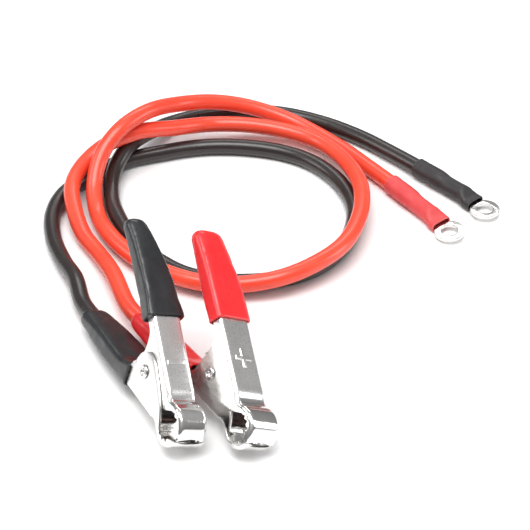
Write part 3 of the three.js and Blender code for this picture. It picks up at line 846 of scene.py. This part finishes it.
def grip_solid(name, width, grip, left_sign, seed):
    flange_run = (FLANGE_END_X - grip["mouth"]) / math.cos(HANDLE_SLOPE)
    flange_fit = width + 2 * (FIT_GAP + GRIP_SIDE_WALL)
    length = grip["length"]

    def outer(s, inset):
        share = s / length
        past = max(0, (s - flange_run) / (length - flange_run))
        open_depth = lerp(grip["mouth_depth"], GRIP_DEPTH, ease(s / MOUTH_RUN))
        depth = lerp(open_depth, GRIP_END_DEPTH, share)
        mouth_part = lerp(grip["mouth_width"], flange_fit, ease(s / flange_run))
        wide = lerp(mouth_part, grip["end_width"], ease(past) * 0.4 + past * 0.6)
        from_end = max(0, 1 - (length - s) / GRIP_END_ROUND)
        drawn = 1 - math.sqrt(max(0, 1 - from_end * from_end))
        shrink = GRIP_END_DRAW * GRIP_END_DEPTH * drawn + inset
        power = lerp(5.5, 2.5, ease(past))
        ring = rounded_ring(0, 0, wide - shrink, depth - shrink, power, GRIP_SIDES)
        bend = share * share
        points = []
        for point in ring:
            away = Vector((0, point.y, point.z)).normalized()
            dent = noise.noise(Vector((s * 0.11 + seed, away.y * 1.4, away.z * 1.4 + seed)))
            crease = noise.noise(Vector((s * 0.5, away.y * 1.1 + seed, away.z * 1.1)))
            pull = DENT_DEPTH * max(0, dent) + CREASE_DEPTH * max(0, crease)
            fade = ease(s / 5)
            y = point.y - away.y * pull * fade + left_sign * grip["sway"] * bend
            h = GRIP_WALL - depth / 2 - grip["lean"] * bend + point.z - away.z * pull * fade
            x, z = along_handle(grip["mouth"], s, h)
            points.append(Vector((x, y, z)))
        return points

    def inner(s, depth):
        ring = rounded_ring(0, 0, width + 2 * FIT_GAP, FIT_GAP + depth, 9, GRIP_SIDES)
        points = []
        for point in ring:
            x, z = along_handle(grip["mouth"], s, (FIT_GAP - depth) / 2 + point.z)
            points.append(Vector((x, point.y, z)))
        return points

    mouth_pocket = grip["mouth_depth"] - GRIP_WALL - GRIP_SIDE_WALL
    flange_depth = HANDLE_FLANGE + FIT_GAP + SHEET
    rings = [inner(flange_run, flange_depth), inner(MOUTH_RUN, flange_depth), inner(0.25, mouth_pocket)]
    rings += [outer(0, 0.9), outer(0.12, 0.35), outer(0.5, 0)]
    places = list(np.linspace(1.5, length - GRIP_END_ROUND, GRIP_RINGS))
    for i in range(1, GRIP_END_RINGS + 1):
        places.append(length - GRIP_END_ROUND * (1 - math.sin(math.radians(90 * i / GRIP_END_RINGS))))
    rings += [outer(s, 0) for s in places]
    solid = mesh_object(name, *skin(rings))
    outward(solid)
    return solid


# Rivets and springs

def rivet():
    """A rivet with a rolled rim and a dimple at both ends."""
    reach = OUTER_WIDTH / 2 + FIT_GAP
    rim_middle = (RIVET_BORE + RIVET_HEAD_RADIUS) / 2
    rim_half = (RIVET_HEAD_RADIUS - RIVET_BORE) / 2
    rim = [
        (rim_middle + rim_half * math.cos(a), reach + RIVET_HEAD_HEIGHT * math.sin(a))
        for a in [math.radians(180 * i / RIM_STEPS) for i in range(RIM_STEPS + 1)]
    ]
    dimple_floor = reach - DIMPLE_DEPTH
    dimple = [
        (RIVET_BORE * 0.95, reach - 0.25), (RIVET_BORE * 0.7, dimple_floor + 0.04), (0.02, dimple_floor),
    ]
    end = [(RIVET_RADIUS, reach)] + rim + dimple
    profile = end + [(r, -y) for r, y in end[::-1]]
    solid = mesh_object("rivet", *lathe(profile, RIVET_SIDES))
    outward(solid)
    solid.data.transform(Matrix.Translation((PIVOT_X, 0, 0)))
    return solid


def spring_points():
    """The wire's middle: a straight leg, the coil and the other leg. Also how far the coil rises."""
    leg_clear = SHEET + FIT_GAP + SPRING_WIRE / 2
    leg_z = web_z(SPRING_LEG_X) - leg_clear / math.cos(HANDLE_SLOPE)
    leg_distance = math.hypot(SPRING_LEG_X - PIVOT_X, leg_z)
    leg_angle = math.atan2(leg_z, SPRING_LEG_X - PIVOT_X)
    leave = leg_angle + math.acos(SPRING_COIL_RADIUS / leg_distance)
    sweep = SPRING_TURNS * 2 * math.pi + 2 * (math.pi - leave)
    rise = (SPRING_WIRE + SPRING_TURN_GAP) * sweep / (2 * math.pi)
    tangent = (PIVOT_X + SPRING_COIL_RADIUS * math.cos(leave), SPRING_COIL_RADIUS * math.sin(leave))
    leg = []
    for i in range(SPRING_LEG_STEPS):
        share = i / SPRING_LEG_STEPS
        leg.append(Vector((lerp(SPRING_LEG_X, tangent[0], share), -rise / 2, lerp(leg_z, tangent[1], share))))
    points = list(leg)
    steps = SPRING_TURN_STEPS * SPRING_TURNS
    for i in range(steps + 1):
        angle = leave + sweep * i / steps
        x = PIVOT_X + SPRING_COIL_RADIUS * math.cos(angle)
        points.append(Vector((x, rise * (i / steps - 0.5), SPRING_COIL_RADIUS * math.sin(angle))))
    points += [Vector((point.x, rise / 2, -point.z)) for point in reversed(leg)]
    return points, rise


for seed, (name, lead) in enumerate(LEADS.items()):
    matrix = clamp_matrix(lead)
    upper_body = f"{name}_upper_handle"
    wide_upper = lead["wide_half"] == "upper"
    upper_width = OUTER_WIDTH if wide_upper else INNER_WIDTH
    lower_width = INNER_WIDTH if wide_upper else OUTER_WIDTH

    upper_half = pressed_half(f"{name}_upper_plate", upper_width, lead["mark"], lead["mark_x"])
    dress(place(upper_half, matrix, 35), "plated_steel", upper_body, f"{name}_upper_jaw")
    lower_half = pressed_half(f"{name}_lower_plate", lower_width, None, 0)
    dress(place(lower_half, matrix @ LOWER_HALF, 35), "plated_steel", "leads", f"{name}_lower_jaw")

    upper_grip = grip_solid(f"{name}_upper_cover", upper_width, lead["upper"], 1, 3.1 + 7 * seed)
    dress(place(upper_grip, matrix, 50), f"{name}_grip", upper_body, f"{name}_upper_grip")
    lower_grip = grip_solid(f"{name}_lower_cover", lower_width, lead["lower"], -1, 5.7 + 7 * seed)
    dress(place(lower_grip, matrix @ LOWER_HALF, 50), f"{name}_grip", "leads", f"{name}_lower_grip")

    pin = rivet()
    pin.name = f"{name}_rivet"
    dress(place(pin, matrix, 50), "rivet", "leads", f"{name}_pivot_rivet")

    wire, rise = spring_points()
    spring = mesh_object(f"{name}_spring", *tube(wire, SPRING_WIRE / 2, SPRING_SIDES))
    outward(spring)
    place(spring, matrix, 50)
    spring.data.materials.append(MATERIALS["spring_steel"])
    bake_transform(spring)
    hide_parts(f"{name}_torsion_spring")


# Floor, light and world

bpy.context.scene.view_settings.view_transform = "Standard"

FLOOR_HALF = 4.0
FLOOR_BELOW = 0.0002
PAPER_WHITE = (0.93, 0.93, 0.93, 1)
PAPER_ROUGHNESS = 0.7
WORLD_STRENGTH = 0.62
# dark near the horizon and brighter above, so that the metal shows its bends
WORLD_BAND = ((0.0, 0.14), (0.12, 0.40), (0.5, 0.56), (0.8, 1.0))
# name, place, size, power and what it points at
LIGHTS = (
    ("overhead", (-0.15, -0.35, 1.5), (1.3, 0.8), 25, (0, 0.05, 0)),
    ("left", (-1.3, 0.1, 0.8), (0.6, 0.6), 5, (0, 0, 0)),
    ("right", (1.4, 0.0, 0.40), (0.5, 0.6), 5, (0, -0.05, 0.02)),
    ("behind", (0.1, 1.5, 1.5), (1.4, 0.4), 8, (0, 0.1, 0)),
)
floor_corners = [(-1, -1), (1, -1), (1, 1), (-1, 1)]
floor = mesh_object(
    "floor", [(x * FLOOR_HALF, y * FLOOR_HALF, -FLOOR_BELOW) for x, y in floor_corners], [(0, 1, 2, 3)]
)
paper = bpy.data.materials.new("paper")
paper.use_nodes = True
paper_shader = paper.node_tree.nodes["Principled BSDF"]
paper_shader.inputs["Base Color"].default_value = PAPER_WHITE
paper_shader.inputs["Roughness"].default_value = PAPER_ROUGHNESS
floor.data.materials.append(paper)


def area_light(name, place_at, size, power, target):
    data = bpy.data.lights.new(name, "AREA")
    data.shape = "RECTANGLE"
    data.size = size[0]
    data.size_y = size[1]
    data.energy = power
    lamp = bpy.data.objects.new(name, data)
    lamp.location = place_at
    lamp.visible_camera = False
    lamp.rotation_euler = (Vector(target) - Vector(place_at)).to_track_quat("-Z", "Y").to_euler()
    bpy.context.scene.collection.objects.link(lamp)


for light in LIGHTS:
    area_light(*light)

world = bpy.data.worlds.new("studio")
world.use_nodes = True
bpy.context.scene.world = world
world_nodes = world.node_tree.nodes
world_links = world.node_tree.links
direction = world_nodes.new("ShaderNodeTexCoord").outputs["Generated"]
split = world_nodes.new("ShaderNodeSeparateXYZ")
world_links.new(direction, split.inputs[0])
band = world_nodes.new("ShaderNodeValToRGB")
world_links.new(split.outputs["Z"], band.inputs["Fac"])
for place_at, grey in WORLD_BAND:
    stop = band.color_ramp.elements.new(place_at)
    stop.color = (grey, grey, grey, 1)
world_links.new(band.outputs["Color"], world_nodes["Background"].inputs["Color"])
world_nodes["Background"].inputs["Strength"].default_value = WORLD_STRENGTH
